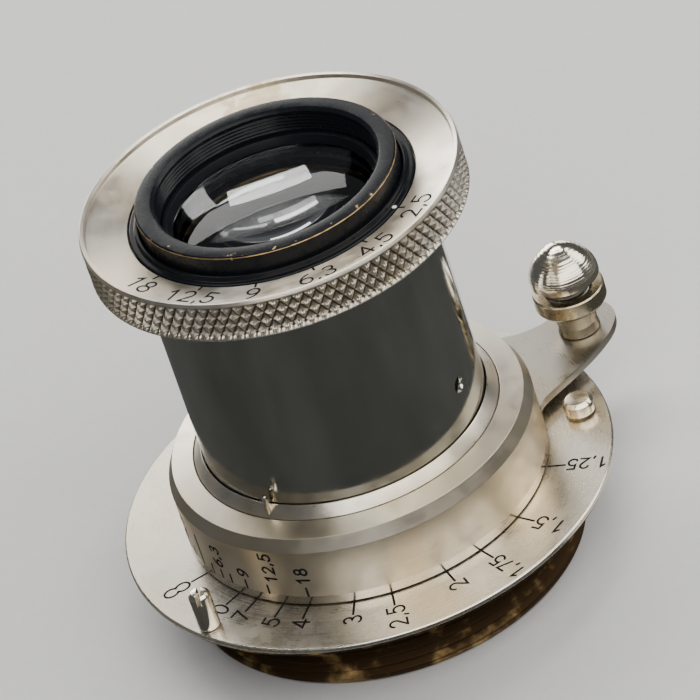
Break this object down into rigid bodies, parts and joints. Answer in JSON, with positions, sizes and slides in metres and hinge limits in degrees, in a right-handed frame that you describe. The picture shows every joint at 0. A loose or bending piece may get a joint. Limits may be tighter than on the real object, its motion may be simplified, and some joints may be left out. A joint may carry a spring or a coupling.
{
  "type": "camera lens",
  "caption": "Collapsible nickel-plated lens with a screw mount, focusing lever with sprung lock button, distance scale, sliding tube, knurled front ring and iris.",
  "frame": {"origin": "on the optical axis, in the plane of the flange's rear seat, where the lens meets a camera", "axes": "+Z along the optical axis towards the front glass; the focusing lever points towards +X at infinity focus"},
  "size_m": [0.052, 0.048, 0.0447],
  "materials": {
    "nickel_plate": "warm satin nickel plate on brass, worn at the edges",
    "polished_nickel": "polished nickel plate on a brass tube",
    "brass": "bare turned brass, slightly tarnished",
    "black_lacquer": "gloss black lacquer, brass showing at the rim",
    "dull_black": "matt black anti-reflection paint",
    "steel": "turned steel",
    "blued_steel": "thin blued steel",
    "optical_glass": "polished optical glass"
  },
  "bodies": {
    "mount": {"screw_mount": "brass", "scale_disc": "nickel_plate", "infinity_post": "nickel_plate", "near_stop": "nickel_plate", "mount_screw_1": "steel", "mount_screw_2": "steel", "mount_screw_3": "steel", "mount_screw_4": "steel"},
    "rangefinder": {"rangefinder_ring": "brass"},
    "barrel": {"focus_sleeve": "brass", "focus_collar": "nickel_plate", "guide_ring": "nickel_plate", "guide_pin": "nickel_plate", "focus_lever": "nickel_plate", "lock_turret": "nickel_plate", "lock_spring": "steel"},
    "lock": {"lock_button": "nickel_plate", "lock_plunger": "steel"},
    "carrier": {"tube_spring_ring": "brass"},
    "head": {"lens_tube": "polished_nickel", "front_ring": "nickel_plate", "front_cell": "black_lacquer", "front_retainer": "black_lacquer", "front_crown": "optical_glass", "front_flint": "optical_glass", "iris_housing": "dull_black", "middle_cell": "dull_black", "middle_retainer": "dull_black", "middle_front_element": "optical_glass", "middle_rear_element": "optical_glass", "rear_cell": "dull_black", "rear_retainer": "dull_black", "rear_front_element": "optical_glass", "rear_rear_element": "optical_glass"},
    "aperture": {"aperture_ring": "black_lacquer", "iris_drive_ring": "brass"},
    "blade_1": {"iris_blade_1": "blued_steel"},
    "blade_2": {"iris_blade_2": "blued_steel"},
    "blade_3": {"iris_blade_3": "blued_steel"},
    "blade_4": {"iris_blade_4": "blued_steel"},
    "blade_5": {"iris_blade_5": "blued_steel"},
    "blade_6": {"iris_blade_6": "blued_steel"},
    "blade_7": {"iris_blade_7": "blued_steel"},
    "blade_8": {"iris_blade_8": "blued_steel"}
  },
  "joints": [
    {"name": "focus_advance", "type": "slide", "parent": "mount", "child": "rangefinder", "axis": [0, 0, 1], "range_m": [0, 0.00264]},
    {"name": "focus_turn", "type": "hinge", "parent": "rangefinder", "child": "barrel", "pos_m": [0, 0, 0], "axis": [0, 0, 1], "range_deg": [0, 175.8]},
    {"name": "lock_press", "type": "slide", "parent": "barrel", "child": "lock", "axis": [0, 0, -1], "range_m": [0, 0.0008], "stiffness_N_per_m": 600, "springref_m": -0.0008, "deforming": ["lock_spring"]},
    {"name": "tube_slide", "type": "slide", "parent": "barrel", "child": "carrier", "axis": [0, 0, 1], "range_m": [-0.0205, 0]},
    {"name": "tube_twist", "type": "hinge", "parent": "carrier", "child": "head", "pos_m": [0, 0, 0], "axis": [0, 0, 1], "range_deg": [-35, 0]},
    {"name": "aperture_turn", "type": "hinge", "parent": "head", "child": "aperture", "pos_m": [0, 0, 0.0345], "axis": [0, 0, 1], "range_deg": [-110, 0]},
    {"name": "blade_1_turn", "type": "hinge", "parent": "head", "child": "blade_1", "pos_m": [0.0106, 0, 0.02705], "axis": [0, 0, 1], "range_deg": [0, 38]},
    {"name": "blade_2_turn", "type": "hinge", "parent": "head", "child": "blade_2", "pos_m": [0.00749, 0.00749, 0.0272], "axis": [0, 0, 1], "range_deg": [0, 38]},
    {"name": "blade_3_turn", "type": "hinge", "parent": "head", "child": "blade_3", "pos_m": [0, 0.0106, 0.02735], "axis": [0, 0, 1], "range_deg": [0, 38]},
    {"name": "blade_4_turn", "type": "hinge", "parent": "head", "child": "blade_4", "pos_m": [-0.00749, 0.00749, 0.0275], "axis": [0, 0, 1], "range_deg": [0, 38]},
    {"name": "blade_5_turn", "type": "hinge", "parent": "head", "child": "blade_5", "pos_m": [-0.0106, 0, 0.02765], "axis": [0, 0, 1], "range_deg": [0, 38]},
    {"name": "blade_6_turn", "type": "hinge", "parent": "head", "child": "blade_6", "pos_m": [-0.00749, -0.00749, 0.0278], "axis": [0, 0, 1], "range_deg": [0, 38]},
    {"name": "blade_7_turn", "type": "hinge", "parent": "head", "child": "blade_7", "pos_m": [0, -0.0106, 0.02795], "axis": [0, 0, 1], "range_deg": [0, 38]},
    {"name": "blade_8_turn", "type": "hinge", "parent": "head", "child": "blade_8", "pos_m": [0.00749, -0.00749, 0.0281], "axis": [0, 0, 1], "range_deg": [0, 38]}
  ],
  "couplings": [
    {"joint": "focus_advance", "follows": "focus_turn", "m_per_rad": 0.0008578},
    {"joint": "blade_1_turn", "follows": "aperture_turn", "ratio": -0.34545},
    {"joint": "blade_2_turn", "follows": "aperture_turn", "ratio": -0.34545},
    {"joint": "blade_3_turn", "follows": "aperture_turn", "ratio": -0.34545},
    {"joint": "blade_4_turn", "follows": "aperture_turn", "ratio": -0.34545},
    {"joint": "blade_5_turn", "follows": "aperture_turn", "ratio": -0.34545},
    {"joint": "blade_6_turn", "follows": "aperture_turn", "ratio": -0.34545},
    {"joint": "blade_7_turn", "follows": "aperture_turn", "ratio": -0.34545},
    {"joint": "blade_8_turn", "follows": "aperture_turn", "ratio": -0.34545}
  ]
}
